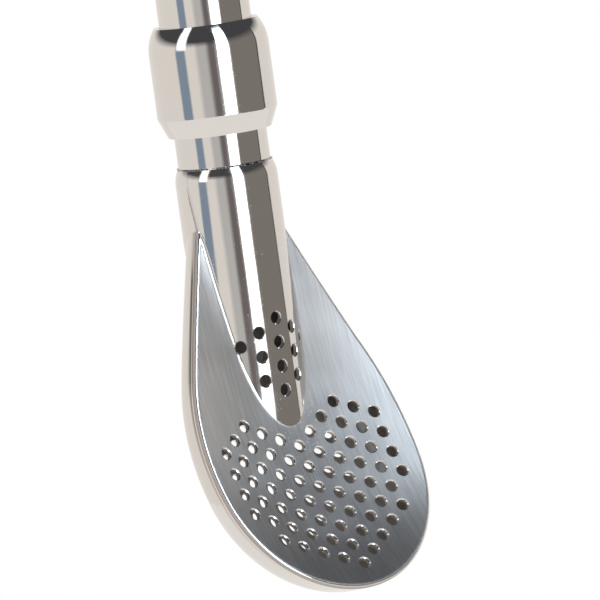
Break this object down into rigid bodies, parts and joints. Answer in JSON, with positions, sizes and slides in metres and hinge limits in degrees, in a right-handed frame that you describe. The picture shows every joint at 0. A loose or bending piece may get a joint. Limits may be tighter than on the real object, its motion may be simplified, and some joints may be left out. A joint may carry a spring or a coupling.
{
  "type": "bombilla",
  "caption": "Screw-apart metal drinking straw with a collar and a spoon-shaped perforated filter at its lower end.",
  "frame": {"origin": "on the tube's axis at the collar's top face, where the bare stem starts", "axes": "+Z along the stem towards the mouth, -Y is the side that the spoon's hollow face looks to, +X across the spoon"},
  "size_m": [0.022, 0.0178, 0.1813],
  "materials": {
    "polished_steel": "polished",
    "satin_steel": "brushed along the spoon",
    "silicone": "matt translucent white",
    "braze": "dull, uneven"
  },
  "bodies": {
    "stem": {"mouthpiece": "polished_steel", "stem_tube": "polished_steel", "collar": "polished_steel"},
    "seal": {"seal_ring": "silicone"},
    "filter": {"threaded_ferrule": "polished_steel", "neck_tube": "polished_steel", "shoulder_braze": "braze", "front_shell": "satin_steel", "rear_shell": "polished_steel"}
  },
  "joints": [
    {"name": "screw_travel", "type": "slide", "parent": "stem", "child": "seal", "axis": [0, 0, -1], "range_m": [0, 0.003]},
    {"name": "screw_turn", "type": "hinge", "parent": "seal", "child": "filter", "pos_m": [0, 0, 0], "axis": [0, 0, -1], "range_deg": [0, 1440.5]}
  ],
  "couplings": [
    {"joint": "screw_turn", "follows": "screw_travel", "rad_per_m": 8377.6}
  ]
}
